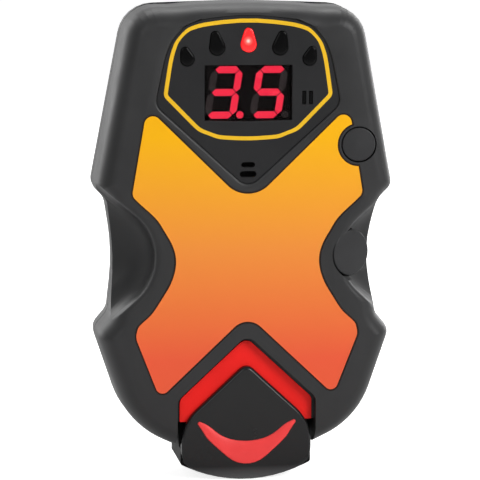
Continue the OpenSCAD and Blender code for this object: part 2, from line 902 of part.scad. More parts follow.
module slider_body() {
    half = cap_w / 2;
    color([0.1, 0.1, 0.1]) stand() difference() {
        union() {
            intersection() {
                union() {
                    block(-half, half, -over, block_top, -slider_back, cap_under);
                    block(-half, half, -over, tray_top, -slider_back, tray_front);
                }
                slab(-slider_back, face_z) outlined(cap_half());
            }
            block(-half - rail_reach, half + rail_reach, rail_foot, rail_foot + rail_l,
                parting - rail_w / 2, parting + rail_w / 2);
        }
        translate([0, tray_top - magnet_l, magnet_z]) rotate([-90, 0, 0])
            cylinder(r = magnet_r, h = magnet_l + over);
        for (s = [0, slide_travel]) translate([-half - over, spring_y - s, -slider_back])
            rotate([0, 90, 0]) cylinder(r = bump_r, h = 2 * half + 2 * over);
    }
}

module slider_cap() {
    edge = [for (q = quarter)
        [outline(cap_half(foot_band * q[0]), cap_edge * q[0]), cap_under + (cap_t + skim) * q[1]]];
    color([0.14, 0.14, 0.15]) stand() difference() {
        cut_flat(cap_under, cap_top_z) skin(concat([[edge[0][0], cap_under - over]], edge));
        slab(cap_top_z - grip_depth, face_z) outlined(crescent_half);
    }
}

module slider_grip() {
    foot = cap_top_z - grip_depth;
    base = cap_top_z - grip_proud;
    color([0.93, 0.15, 0.15]) stand() cut_flat(foot, cap_top_z + grip_proud)
        loft(crescent_half, concat([[0, foot - over]],
            [for (q = quarter) [grip_edge * q[0], base + (2 * grip_proud + skim) * q[1]]]));
}

module slider_magnet() {
    color("silver") stand() translate([0, tray_top - magnet_l, magnet_z]) rotate([-90, 0, 0])
        cylinder(r = magnet_r, h = magnet_l);
}

// Leaf spring in the back of the well, with a bump that clicks into the slider's grooves
module detent_spring() {
    spring_z = well_back - 2 * spring_t;
    color([0.7, 0.7, 0.72]) stand() {
        block(-spring_w / 2, spring_w / 2, spring_y - spring_l / 2, spring_y + spring_l / 2,
            spring_z - spring_t / 2, spring_z + spring_t / 2);
        intersection() {
            translate([-spring_w / 2, spring_y, spring_z]) rotate([0, 90, 0])
                cylinder(r = 2 * bump_r, h = spring_w);
            block(-spring_w, spring_w, 0, case_top, spring_z, -slider_back - slide_fit);
        }
    }
}

sensor_r = 1.2;
sensor_l = 14;
sensor_y = 37;
module slide_sensor() {
    color([0.6, 0.75, 0.7]) stand() translate([-sensor_l / 2, sensor_y, board_top + sensor_r])
        rotate([0, 90, 0]) cylinder(r = sensor_r, h = sensor_l);
}

module circuit_board() {
    color([0.1, 0.4, 0.2]) stand() slab(board_z, board_top) outlined(board_half);
}

// Antennas
module antenna_core(r, l) {
    translate([0, 0, -l / 2]) cylinder(r = r, h = l);
}

module antenna_winding(r_in, r_out, l) {
    difference() {
        translate([0, 0, -l / 2]) cylinder(r = r_out, h = l);
        translate([0, 0, -l / 2 - over]) cylinder(r = r_in, h = l + 2 * over);
    }
}

module cross_place() {
    translate([0, cross_y, back_in + slide_fit + cross_r[1]]) rotate([0, 90, 0]) children();
}

module cross_core() {
    color([0.2, 0.2, 0.22]) stand() cross_place() antenna_core(cross_r[0], cross_l[0]);
}

module cross_winding() {
    color([0.72, 0.4, 0.2]) stand() cross_place() antenna_winding(cross_r[0], cross_r[1], cross_l[1]);
}

module long_place() {
    translate([long_at[0], long_at[1], back_in + slide_fit + long_r[1]]) rotate([90, 0, 0]) children();
}

module long_core() {
    color([0.2, 0.2, 0.22]) stand() long_place() antenna_core(long_r[0], long_l[0]);
}

module long_winding() {
    color([0.72, 0.4, 0.2]) stand() long_place() antenna_winding(long_r[0], long_r[1], long_l[1]);
}

module depth_place() {
    translate([depth_at[0], depth_at[1], back_in + depth_l[0] / 2]) children();
}

module depth_core() {
    color([0.2, 0.2, 0.22]) stand() depth_place() antenna_core(depth_r[0], depth_l[0]);
}

module depth_winding() {
    color([0.72, 0.4, 0.2]) stand() depth_place() antenna_winding(depth_r[0], depth_r[1], depth_l[1]);
}

// Cells stand side by side, the middle one turned over
nub_l = 1;
nub_r = 2.7;
module battery_cells() {
    color([0.25, 0.3, 0.6]) stand() for (i = [-1, 0, 1])
        translate([i * cell_pitch, bay_foot + contact_t + contact_bump + cell_l / 2, cell_z])
            rotate([i == 0 ? 90 : -90, 0, 0]) {
                translate([0, 0, -cell_l / 2]) cylinder(d = cell_d, h = cell_l - nub_l);
                translate([0, 0, cell_l / 2 - nub_l]) cylinder(r = nub_r, h = nub_l);
            }
}

module cell_contacts() {
    plate_w = 8;
    head = bay_foot + bay_l;
    head_bump = bay_l - cell_l - 2 * contact_t - contact_bump;
    color([0.8, 0.75, 0.6]) stand() for (i = [-1, 0, 1]) translate([i * cell_pitch, 0, cell_z]) {
        translate([-plate_w / 2, bay_foot, -plate_w / 2]) cube([plate_w, contact_t, plate_w]);
        translate([0, bay_foot + contact_t, 0]) rotate([-90, 0, 0]) cylinder(r = 2, h = contact_bump);
        translate([-plate_w / 2, head - contact_t, -plate_w / 2]) cube([plate_w, contact_t, plate_w]);
        translate([0, head - contact_t, 0]) rotate([90, 0, 0]) cylinder(r = 2, h = head_bump);
    }
}

module door_outline(grow = 0) {
    outlined([
        [door_x, door_foot, door_corner],
        [door_x, door_head, door_corner]], -grow);
}

module battery_door() {
    color([0.17, 0.17, 0.18]) stand() difference() {
        slab(door_z, door_in) door_outline(-door_gap);
        for (i = [0 : groove_n - 1]) translate([0, groove_y + i * groove_pitch, 0])
            block(-groove_l / 2, groove_l / 2, -groove_w / 2, groove_w / 2, door_z - over, door_z + groove_t);
        rod([0, screw_y], screw_head_r + 0.25, door_z - over, door_z + flush_gap + screw_head_t + 0.05);
        rod([0, screw_y], screw_r + 0.2, door_z - over, door_in + over);
    }
}

module door_seal() {
    seal_in = 0.9;
    seal_x = door_x - seal_in;
    color([0.05, 0.05, 0.05]) stand() difference() {
        block(-seal_x, seal_x, door_foot + seal_in, bay_foot + bay_l + 1.4, door_in, ledge_z);
        block(-bay_x - 0.3, bay_x + 0.3, bay_foot - 0.3, bay_foot + bay_l + 0.3,
            door_in - over, ledge_z + over);
    }
}

module door_screw() {
    slot_w = 1.4;
    head_z = door_z + flush_gap;
    color("silver") stand() difference() {
        union() {
            rod([0, screw_y], screw_head_r, head_z, head_z + screw_head_t);
            rod([0, screw_y], screw_r, head_z, screw_end);
        }
        block(-screw_head_r - over, screw_head_r + over, screw_y - slot_w / 2, screw_y + slot_w / 2,
            head_z - over, head_z + 0.6);
    }
}

module screw_insert() {
    color("goldenrod") stand() difference() {
        rod([0, screw_y], insert_r, insert_z[0], insert_z[1]);
        rod([0, screw_y], screw_r + 0.1, insert_z[0] - over, insert_z[1] + over);
    }
}

module power_knob() {
    bar_w = 5;
    pointer = [1, 4.5, 0.4];
    color([0.15, 0.15, 0.16]) stand() translate([0, knob_y, 0]) difference() {
        union() {
            translate([0, 0, knob_under - knob_disc_t]) cylinder(d = knob_d, h = knob_disc_t);
            intersection() {
                translate([0, 0, back_z + flush_gap]) cylinder(d = knob_d, h = knob_pocket);
                block(-bar_w / 2, bar_w / 2, -knob_d, knob_d,
                    back_z + flush_gap, knob_under - knob_disc_t / 2);
            }
            translate([0, 0, knob_under - knob_disc_t / 2])
                cylinder(d = shaft_d, h = shaft_end - knob_under + knob_disc_t / 2);
        }
        translate([-pointer[0] / 2, knob_d / 2 - pointer[1] - 1, back_z - over])
            cube([pointer[0], pointer[1], over + flush_gap + pointer[2]]);
    }
}

module knob_ring() {
    color([0.05, 0.05, 0.05]) stand() translate([0, knob_y, knob_floor + ring_r + 0.05])
        rotate_extrude() translate([shaft_d / 2 + ring_r + 0.1, 0]) circle(r = ring_r);
}

module power_switch() {
    switch_z = knob_floor + knob_wall;
    color([0.3, 0.3, 0.32]) stand() difference() {
        slab(switch_z, switch_z + switch_box[2]) translate([0, knob_y])
            square([switch_box[0], switch_box[1]], center = true);
        rod([0, knob_y], shaft_d / 2 + slide_fit, switch_z - over, shaft_end + slide_fit);
    }
}

module leash_pin() {
    color("silver") stand() leash_pin_shape();
}

front_shell();
rear_shell();
shell_gasket();
case_screws();
face_label();
display_bezel();
window_border();
display_lens();
display_module();
lit_segments();
dark_segments();
centre_light();
side_lights();
indicator_bars();
light_emitters();
speaker();
speaker_seal();
mode_button();
mode_switch();
side_button();
side_switch();
search_flag();
slider_body();
slider_cap();
slider_grip();
slider_magnet();
detent_spring();
slide_sensor();
circuit_board();
cross_core();
cross_winding();
long_core();
long_winding();
depth_core();
depth_winding();
battery_cells();
cell_contacts();
battery_door();
door_seal();
door_screw();
screw_insert();
power_knob();
knob_ring();
power_switch();
leash_pin();
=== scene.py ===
"""Looks of an avalanche transceiver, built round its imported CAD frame."""

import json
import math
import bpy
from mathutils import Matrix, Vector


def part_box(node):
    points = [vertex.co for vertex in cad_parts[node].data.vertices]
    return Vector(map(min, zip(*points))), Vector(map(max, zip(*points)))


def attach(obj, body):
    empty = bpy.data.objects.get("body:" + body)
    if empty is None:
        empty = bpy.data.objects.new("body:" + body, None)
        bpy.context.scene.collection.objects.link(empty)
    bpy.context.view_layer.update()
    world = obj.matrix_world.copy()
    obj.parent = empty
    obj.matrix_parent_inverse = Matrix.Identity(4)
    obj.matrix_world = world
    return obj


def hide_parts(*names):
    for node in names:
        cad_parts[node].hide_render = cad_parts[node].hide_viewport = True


bl_info = {
    "name": "Avalanche transceiver",
    "version": (1, 0, 0),
    "blender": (4, 5, 0),
    "location": "View3D > Sidebar > Transceiver",
    "description": "Dresses the transceiver's CAD pieces and sets up its studio",
    "category": "Object",
}

import bmesh
import bpy
from mathutils import Matrix, Vector

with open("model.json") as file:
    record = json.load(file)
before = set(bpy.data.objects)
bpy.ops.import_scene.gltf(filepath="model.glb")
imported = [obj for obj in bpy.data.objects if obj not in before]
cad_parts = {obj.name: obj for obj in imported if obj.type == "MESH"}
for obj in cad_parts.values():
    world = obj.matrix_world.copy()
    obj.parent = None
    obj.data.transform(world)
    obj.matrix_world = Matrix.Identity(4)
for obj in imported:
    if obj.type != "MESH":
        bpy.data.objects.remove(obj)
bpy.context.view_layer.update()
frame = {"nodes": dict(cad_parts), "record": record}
MM = 0.001

# What the record says of each node
RECORD = frame["record"]
SLOT_OF = {row["node"]: row["material_slot"] for row in RECORD["subparts"]}
BODY_OF = {name: body for body, names in RECORD["behaviour"]["bodies"].items() for name in names}

# Mesh work: points closer than this are one, and a bent edge gets this many cuts
SAME_PLACE = 0.001 * MM
EASE_CUTS = 14

# Label: the attribute that marks its rim of painted shade, the depth of its seat and the stretch that is
# its waist
PAINTED_SHADE_MARK = "label_rim"
INLAY_DEPTH = 0.45 * MM
WAIST_FOOT = 38 * MM
WAIST_HEAD = 80 * MM
WAIST_INNER = 12 * MM
WAIST_LONG_EDGE = 3 * MM
# Where the waist is eased: height, reach up and down, and shift outwards
WAIST_EASE = (
    (72.7 * MM, 4.0 * MM, -1.3 * MM),
    (55.5 * MM, 5.5 * MM, 0.55 * MM),
    (43.8 * MM, 2.2 * MM, 1.3 * MM),
)

# Corners that are eased: place across and up, reach, and shift across and up
EASE_LONG_EDGE = 1.0 * MM
EASE_LEAST = 0.03 * MM
DISPLAY_HEAD_EASE = ((20.8 * MM, 124.6 * MM, 5.4 * MM, -0.95 * MM, -1.4 * MM),)
DISPLAY_EASE = DISPLAY_HEAD_EASE + (
    (11.0 * MM, 95.0 * MM, 2.8 * MM, -0.05 * MM, 0.55 * MM),
    (0.0 * MM, 95.0 * MM, 5.5 * MM, 0.0 * MM, -0.35 * MM),
)
CAP_EASE = (
    (17.75 * MM, 15.7 * MM, 2.8 * MM, -0.7 * MM, -0.5 * MM),
    (17.75 * MM, 5.1 * MM, 2.0 * MM, -0.5 * MM, 0.4 * MM),
    (10.2 * MM, 15.3 * MM, 3.4 * MM, 0.0 * MM, 0.8 * MM),
)

# Finger scoops
SCOOP_MIDDLE = Vector((40.3 * MM, 0.0, 62.3 * MM))
SCOOP_LIP = 1.8 * MM
SCOOP_DEPTH = 12.05 * MM
SCOOP_ARM = 45 * MM
# Each scoop: side, radius of its bowl, angles of its upper and lower arm, and power of its wall's curve
SCOOPS = (
    (-1, 15.0 * MM, 41.0, 44.0, 0.75),
    (1, 13.8 * MM, 44.0, 45.0, 0.97),
)

# Digits: pitch, slant, the part of each that keeps its shape, and how far it is widened and shifted
DIGIT_PITCH = 12.2 * MM
DIGIT_SLANT = math.tan(math.radians(9.0))
DIGIT_MARGIN = 0.4 * MM
DIGIT_CORE = 1.8 * MM
DIGIT_WIDENING = 0.55 * MM
DIGIT_SHIFT = {-1.0: -0.4 * MM, 1.0: -0.2 * MM}

# Slider cap: its edge in the CAD model, the band of painted light on its foot, and the slopes between
# which its edge is eased
CAP_EDGE = 0.7 * MM
CAP_PAINTED_LIGHT_BAND = 4 * MM
CAP_EASE_FROM = -0.75
CAP_EASE_SPAN = 0.4

# Materials: the stretch in which noise mostly lies, and a turn of wire
NOISE_RANGE = (0.3, 0.7)
WIRE = 0.45 * MM

# Studio
AIM = Vector((0.0, 0.0, 65 * MM))
CAMERA_AZIMUTH = math.radians(-9.0)
CAMERA_ELEVATION = math.radians(8.0)
CAMERA_ROLL = math.radians(0.3)
CAMERA_LENS = 189.2
FLOOR_SEEN = 0.8
FLOOR_MIRRORED = 0.15
ROOM_RANGE = (-0.6, 0.4)
# Each lamp: name, place, width, height and the setting of its power
LAMPS = (
    ("key_lamp", (0.62, -0.68, 0.55), 0.35, 0.5, "key_watts"),
    ("fill_lamp", (-0.42, -0.8, 0.52), 0.35, 0.5, "fill_watts"),
    ("left_lamp", (-0.6, 0.8, 0.25), 0.4, 0.9, "side_watts"),
    ("right_lamp", (0.6, 0.8, 0.25), 0.4, 0.9, "side_watts"),
    ("top_lamp", (0.0, 0.4, 0.9), 0.7, 0.4, "top_watts"),
)


# Settings that a user would change

def colour(name, words, default):
    """A colour, written in sRGB."""
    return bpy.props.FloatVectorProperty(
        name=name, description=words, default=default, size=3, min=0.0, max=1.0, subtype="COLOR_GAMMA")


def length(name, words, default):
    """A size in metres."""
    return bpy.props.FloatProperty(
        name=name, description=words, default=default, min=0.0, unit="LENGTH", precision=5)


def share(name, words, default):
    """A share from 0 to 1."""
    return bpy.props.FloatProperty(name=name, description=words, default=default, min=0.0, max=1.0)


def power(name, words, default):
    """A lamp's power in watts."""
    return bpy.props.FloatProperty(name=name, description=words, default=default, min=0.0, unit="POWER")


class TransceiverColours(bpy.types.PropertyGroup):
    """Colours of the finishes"""

    shell: colour("Shell", "Moulded plastic of both shells", (0.175, 0.175, 0.178))
    film: colour("Film", "Dark film behind the display border", (0.135, 0.135, 0.14))
    label_head: colour("Label head", "Label at its upper end", (0.99, 0.72, 0.02))
    label_middle: colour("Label middle", "Label half way down", (0.96, 0.575, 0.23))
    label_foot: colour("Label foot", "Label at its lower end", (0.945, 0.37, 0.235))
    # Painted shade: a dark strip along the label's edge, in place of the shade in the groove round its
    # seat.
    label_rim: colour("Label rim", "Painted shade along the label's edge", (0.2, 0.11, 0.06))
    border: colour("Border", "Printed line round the display", (0.95, 0.75, 0.13))
    digit: colour("Digit", "Lit segments", (0.97, 0.14, 0.27))
    digit_off: colour("Unlit digit", "Segments that are off", (0.13, 0.12, 0.12))
    light: colour("Light", "Lit direction light", (1.0, 0.12, 0.13))
    # The hot spot is partly the emitter's own glow and partly a painted glint.
    light_glint_core: colour("Light core", "Hot spot of the lit direction light", (1.0, 0.93, 0.88))
    light_glow: colour("Light glow", "Glow round that hot spot", (1.0, 0.42, 0.38))
    light_off: colour("Unlit light", "Direction lights that are off", (0.03, 0.03, 0.032))
    flag: colour("Flag", "Chevron that the pulled slider uncovers", (0.98, 0.12, 0.1))
    grip: colour("Grip", "Soft crescent on the slider", (0.98, 0.27, 0.27))
    cap: colour("Cap", "Slider cap", (0.1, 0.1, 0.103))
    # Painted light: the cap's foot is coloured lighter, in place of light that falls on it from below.
    cap_foot_painted_light: colour("Cap foot", "Painted light on the slider cap's foot", (0.38, 0.38, 0.385))
    button: colour("Button", "Mode button, side button and power knob", (0.165, 0.165, 0.17))


class TransceiverSizes(bpy.types.PropertyGroup):
    """Sizes of the dressing and the studio"""

    shell_edge: length("Shell edge", "Rounding of the shells' cut edges", 0.22 * MM)
    fine_edge: length("Fine edge", "Rounding of small pieces' edges", 0.12 * MM)
    cap_round: length("Cap rounding", "Radius of the slider cap's edge", 1.1 * MM)
    label_shade_width: length("Label line", "Width of the line along the label's edge", 0.28 * MM)
    light_rise: length("Light rise", "Height of a direction light's dome", 0.25 * MM)
    light_reach: length("Light reach", "Reach of the dome's rounding from its rim", 0.7 * MM)
    grain: length("Grain", "Size of the moulded grain", 0.35 * MM)
    camera_distance: length("Camera distance", "From the camera to the middle of the case", 0.7)
    floor_side: length("Floor side", "Side of the square floor", 14.0)
    ambient: share("Ambient", "Light from all round", 0.22)
    front_gloom: share("Front gloom", "Brightness of the room behind the camera", 0.2)
    key_watts: power("Key lamp", "Soft lamp in front, to the right", 6.4)
    fill_watts: power("Fill lamp", "Soft lamp in front, to the left", 1.3)
    side_watts: power("Side lamps", "Tall lamps behind both sides, for the edges", 2.8)
    top_watts: power("Top lamp", "Soft lamp over the case", 3.8)


def look():
    """The scene's colours."""
    return bpy.context.scene.transceiver_colours


def sizes():
    """The scene's sizes."""
    return bpy.context.scene.transceiver_sizes


# Node helpers

def linear(rgb):
    """An sRGB colour as the linear RGBA that shaders take."""
    def channel(c):
        return c / 12.92 if c <= 0.04045 else ((c + 0.055) / 1.055) ** 2.4
    return tuple(channel(c) for c in rgb) + (1.0,)


def shade(rgba, factor):
    """A linear colour made darker or lighter."""
    return tuple(min(c * factor, 1.0) for c in rgba[:3]) + (1.0,)


def new_material(name):
    """A new material with a Principled shader: the material, its tree and the shader."""
    material = bpy.data.materials.new(name)
    material.use_nodes = True
    tree = material.node_tree
    shader = next(n for n in tree.nodes if n.type == "BSDF_PRINCIPLED")
    return material, tree, shader


def node(tree, kind, **values):
    """A new node with its inputs or properties set by name."""
    made = tree.nodes.new(kind)
    for key, value in values.items():
        if key in made.inputs:
            made.inputs[key].default_value = value
        else:
            setattr(made, key, value)
    return made


def map_range(tree, source, low, high, to_low, to_high):
    """The socket's value carried from one range to another."""
    made = node(tree, "ShaderNodeMapRange")
    for key, value in (("From Min", low), ("From Max", high), ("To Min", to_low), ("To Max", to_high)):
        made.inputs[key].default_value = value
    tree.links.new(source, made.inputs["Value"])
    return made.outputs["Result"]


def ramp(tree, source, stops):
    """A colour ramp on a socket, from (position, linear colour) stops."""
    made = node(tree, "ShaderNodeValToRGB")
    steps = made.color_ramp.elements
    while len(steps) < len(stops):
        steps.new(0.5)
    for step, (place, rgba) in zip(steps, stops):
        step.position = place
        step.color = rgba
    tree.links.new(source, made.inputs["Fac"])
    return made.outputs["Color"]


def axis_place(tree, axis):
    """Object coordinate along one axis, 0 for x, 1 for y, 2 for z."""
    place = node(tree, "ShaderNodeTexCoord")
    split = node(tree, "ShaderNodeSeparateXYZ")
    tree.links.new(place.outputs["Object"], split.inputs[0])
    return split.outputs[axis]


def new_group(name, inputs, outputs):
    """An empty node group with float sockets: its tree, entry and exit."""
    tree = bpy.data.node_groups.new(name, "ShaderNodeTree")
    for label, value in inputs:
        socket = tree.interface.new_socket(name=label, in_out="INPUT", socket_type="NodeSocketFloat")
        socket.default_value = value
    for label in outputs:
        tree.interface.new_socket(name=label, in_out="OUTPUT", socket_type="NodeSocketFloat")
    return tree, tree.nodes.new("NodeGroupInput"), tree.nodes.new("NodeGroupOutput")


def scaled_noise(tree, size, vector, detail):
    """Noise whose grains have the size that a socket gives."""
    scale = node(tree, "ShaderNodeMath", operation="DIVIDE")
    scale.inputs[0].default_value = 1.0
    noise = node(tree, "ShaderNodeTexNoise", Detail=detail, Roughness=0.55)
    tree.links.new(size, scale.inputs[1])
    tree.links.new(vector, noise.inputs["Vector"])
    tree.links.new(scale.outputs[0], noise.inputs["Scale"])
    return noise.outputs["Fac"]


def grain_group():
    """Moulded grain: a height for bump, and a slow mottle."""
    found = bpy.data.node_groups.get("moulded_grain")
    if found:
        return found
    tree, entry, leave = new_group(
        "moulded_grain", (("Grain size", 0.35 * MM), ("Mottle size", 9 * MM)), ("Height", "Mottle"))
    place = node(tree, "ShaderNodeTexCoord")
    for size, detail, out in (("Grain size", 2.0, "Height"), ("Mottle size", 4.0, "Mottle")):
        noise = scaled_noise(tree, entry.outputs[size], place.outputs["Object"], detail)
        tree.links.new(noise, leave.inputs[out])
    return tree


def hairline_group():
    """Fine worn lines: long in one direction, 0 to 1."""
    found = bpy.data.node_groups.get("hairlines")
    if found:
        return found
    tree, entry, leave = new_group(
        "hairlines", (("Line width", 0.08 * MM), ("Stretch", 0.02)), ("Lines",))
    place = node(tree, "ShaderNodeTexCoord")
    squeeze = node(tree, "ShaderNodeCombineXYZ", X=1.0, Y=1.0)
    longer = node(tree, "ShaderNodeVectorMath", operation="MULTIPLY")
    tree.links.new(entry.outputs["Stretch"], squeeze.inputs["Z"])
    tree.links.new(place.outputs["Object"], longer.inputs[0])
    tree.links.new(squeeze.outputs[0], longer.inputs[1])
    noise = scaled_noise(tree, entry.outputs["Line width"], longer.outputs[0], 1.0)
    tree.links.new(noise, leave.inputs["Lines"])
    return tree


def add_bump(tree, shader, height, depth):
    """Bump of a real depth from a height socket."""
    bump = node(tree, "ShaderNodeBump", Strength=1.0, Distance=depth)
    tree.links.new(height, bump.inputs["Height"])
    tree.links.new(bump.outputs["Normal"], shader.inputs["Normal"])


def moulded(name, rgb, depth=0.01 * MM, rough=(0.4, 0.55), grain=1.0, mottle=0.08, specular=0.5):
    """Moulded or printed plastic with grain, an uneven gloss and a faintly uneven colour."""
    material, tree, shader = new_material(name)
    shader.inputs["Specular IOR Level"].default_value = specular
    group = node(tree, "ShaderNodeGroup", node_tree=grain_group())
    group.inputs["Grain size"].default_value = sizes().grain * grain
    add_bump(tree, shader, group.outputs["Height"], depth)
    gloss = map_range(tree, group.outputs["Mottle"], *NOISE_RANGE, *rough)
    tree.links.new(gloss, shader.inputs["Roughness"])
    base = linear(rgb)
    tints = (shade(base, 1 - mottle), shade(base, 1 + mottle))
    tint = ramp(tree, group.outputs["Mottle"], tuple(zip(NOISE_RANGE, tints)))
    tree.links.new(tint, shader.inputs["Base Color"])
    return material, tree, shader


def worked_metal(name, rgb, rough=(0.22, 0.42)):
    """Metal with worn hairlines."""
    material, tree, shader = new_material(name)
    shader.inputs["Metallic"].default_value = 1.0
    group = node(tree, "ShaderNodeGroup", node_tree=hairline_group())
    gloss = map_range(tree, group.outputs["Lines"], *NOISE_RANGE, *rough)
    tree.links.new(gloss, shader.inputs["Roughness"])
    base = linear(rgb)
    tint = ramp(tree, group.outputs["Lines"], tuple(zip(NOISE_RANGE, (shade(base, 0.85), base))))
    tree.links.new(tint, shader.inputs["Base Color"])
    add_bump(tree, shader, group.outputs["Lines"], 0.003 * MM)
    return material


# Finishes, one for each of the record's slots

def shell_plastic(name):
    return moulded(name, look().shell, depth=0.014 * MM, rough=(0.38, 0.48), specular=0.3)[0]


def bezel_film(name):
    return moulded(name, look().film, depth=0.005 * MM, rough=(0.4, 0.5), grain=0.5, specular=0.2)[0]


def border_print(name):
    return moulded(
        name, look().border,
        depth=0.002 * MM, rough=(0.4, 0.5), grain=0.4, mottle=0.05, specular=0.25)[0]


def label_print(name):
    """Printed film whose colour runs from its head to its foot."""
    material, tree, shader = moulded(
        name, look().label_middle,
        depth=0.002 * MM, rough=(0.36, 0.46), grain=0.4, mottle=0.0, specular=0.2)
    low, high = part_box("face_label")
    height = map_range(tree, axis_place(tree, 2), low[2], high[2], 0.0, 1.0)
    print_colour = ramp(tree, height, (
        (0.0, linear(look().label_foot)),
        (0.12, linear(look().label_foot)),
        (0.52, linear(look().label_middle)),
        (0.92, linear(look().label_head)),
        (1.0, linear(look().label_head))))
    # Painted shade: the marked strip along the label's edge gets a dark colour, in place of the groove's
    # shade.
    rim = node(tree, "ShaderNodeAttribute", attribute_name=PAINTED_SHADE_MARK)
    both = node(tree, "ShaderNodeMix", data_type="RGBA")
    tree.links.new(rim.outputs["Fac"], both.inputs["Factor"])
    tree.links.new(print_colour, both.inputs["A"])
    both.inputs["B"].default_value = linear(look().label_rim)
    tree.links.new(both.outputs["Result"], shader.inputs["Base Color"])
    return material


def red_print(name):
    return moulded(
        name, look().flag, depth=0.003 * MM, rough=(0.4, 0.5), grain=0.5, mottle=0.04, specular=0.2)[0]


def grip_red(name):
    return moulded(
        name, look().grip, depth=0.005 * MM, rough=(0.3, 0.4), grain=0.7, mottle=0.04, specular=0.3)[0]


def cap_black(name):
    """Satin black with a band of painted light towards the foot, in place of light that falls on it from
    below.
    """
    material, tree, shader = moulded(
        name, look().cap, depth=0.004 * MM, rough=(0.2, 0.28), grain=0.8, mottle=0.0, specular=0.3)
    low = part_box("slider_cap")[0]
    # Painted light: the base colour runs lighter over the foot band, in place of light from below.
    rise = map_range(tree, axis_place(tree, 2), low[2], low[2] + CAP_PAINTED_LIGHT_BAND, 0.0, 1.0)
    painted_foot_light = ramp(tree, rise, (
        (0.0, linear(look().cap_foot_painted_light)),
        (0.55, shade(linear(look().cap_foot_painted_light), 0.5)),
        (1.0, linear(look().cap))))
    tree.links.new(painted_foot_light, shader.inputs["Base Color"])
    return material


def slider_black(name):
    return moulded(
        name, (0.05, 0.05, 0.052), depth=0.008 * MM, rough=(0.45, 0.58), grain=0.8, specular=0.1)[0]


def button_plastic(name):
    return moulded(name, look().button, rough=(0.38, 0.48), grain=0.8, specular=0.3)[0]


def switch_plastic(name):
    return moulded(name, (0.3, 0.3, 0.32), depth=0.006 * MM, rough=(0.4, 0.5))[0]


def seal_rubber(name):
    return moulded(name, (0.045, 0.045, 0.045), depth=0.012 * MM, rough=(0.62, 0.78), grain=0.6)[0]


def module_black(name):
    return moulded(name, (0.02, 0.02, 0.02), depth=0.004 * MM, rough=(0.5, 0.62), specular=0.1)[0]


def speaker_black(name):
    return moulded(name, (0.05, 0.05, 0.05), rough=(0.6, 0.75), specular=0.2)[0]


def emitter_white(name):
    return moulded(name, (0.9, 0.9, 0.85), depth=0.004 * MM, rough=(0.45, 0.55))[0]


def ferrite(name):
    return moulded(
        name, (0.15, 0.15, 0.16), depth=0.02 * MM, rough=(0.5, 0.7), grain=0.8, mottle=0.15)[0]


def glowing(name, rgb, strength, dark=0.3):
    """Plastic that is lit from inside."""
    body = [c * dark for c in rgb]
    material, tree, shader = moulded(name, body, depth=0.002 * MM, rough=(0.2, 0.3), grain=0.5)
    shader.inputs["Emission Color"].default_value = linear(rgb)
    shader.inputs["Emission Strength"].default_value = strength
    return material, tree, shader


def digit_lit(name):
    return glowing(name, look().digit, 1.1)[0]


def digit_dark(name):
    return moulded(name, look().digit_off, depth=0.002 * MM, rough=(0.4, 0.5), grain=0.5)[0]


def light_lit(name):
    """Lit lens, red out to its rim, with a white hot spot near its emitter: partly the emitter's own glow
    and partly a painted glint.
    """
    material, tree, shader = glowing(name, look().light, 1.0, 0.8)
    low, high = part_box("centre_light")
    middle = [(a + b) / 2 for a, b in zip(low, high)]
    place = node(tree, "ShaderNodeTexCoord")
    away = node(tree, "ShaderNodeVectorMath", operation="DISTANCE")
    away.inputs[1].default_value = (middle[0] - 0.2 * MM, low[1], middle[2] - 0.2 * MM)
    tree.links.new(place.outputs["Object"], away.inputs[0])
    reach = map_range(tree, away.outputs["Value"], 0.0, 3.2 * MM, 0.0, 1.0)
    # Painted glint: white emission round a spot just off the lens's middle, on top of the emitter's own
    # glow.
    glow = ramp(tree, reach, (
        (0.05, linear(look().light_glint_core)),
        (0.22, linear(look().light_glow)),
        (0.42, linear(look().light)),
        (1.0, shade(linear(look().light), 0.75))))
    tree.links.new(glow, shader.inputs["Emission Color"])
    return material


def light_dark(name):
    return moulded(
        name, look().light_off, depth=0.002 * MM, rough=(0.12, 0.2), grain=0.5, specular=0.1)[0]


def lens_clear(name):
    """Smoked clear window with faint wipe marks in its gloss."""
    material, tree, shader = new_material(name)
    shader.inputs["Base Color"].default_value = (0.8, 0.74, 0.75, 1.0)
    shader.inputs["Transmission Weight"].default_value = 1.0
    shader.inputs["IOR"].default_value = 1.1
    group = node(tree, "ShaderNodeGroup", node_tree=grain_group())
    gloss = map_range(tree, group.outputs["Mottle"], *NOISE_RANGE, 0.01, 0.05)
    tree.links.new(gloss, shader.inputs["Roughness"])
    return material


def sensor_glass(name):
    material, tree, shader = new_material(name)
    shader.inputs["Base Color"].default_value = (0.6, 0.8, 0.72, 1.0)
    shader.inputs["Transmission Weight"].default_value = 0.9
    group = node(tree, "ShaderNodeGroup", node_tree=grain_group())
    gloss = map_range(tree, group.outputs["Mottle"], *NOISE_RANGE, 0.03, 0.1)
    tree.links.new(gloss, shader.inputs["Roughness"])
    return material


def screw_steel(name):
    return worked_metal(name, (0.66, 0.66, 0.68))


def spring_steel(name):
    return worked_metal(name, (0.58, 0.58, 0.6), (0.2, 0.35))


def magnet_nickel(name):
    return worked_metal(name, (0.76, 0.75, 0.73), (0.12, 0.22))


def contact_nickel(name):
    return worked_metal(name, (0.72, 0.7, 0.63))


def brass_disc(name):
    return worked_metal(name, (0.77, 0.62, 0.3), (0.25, 0.4))


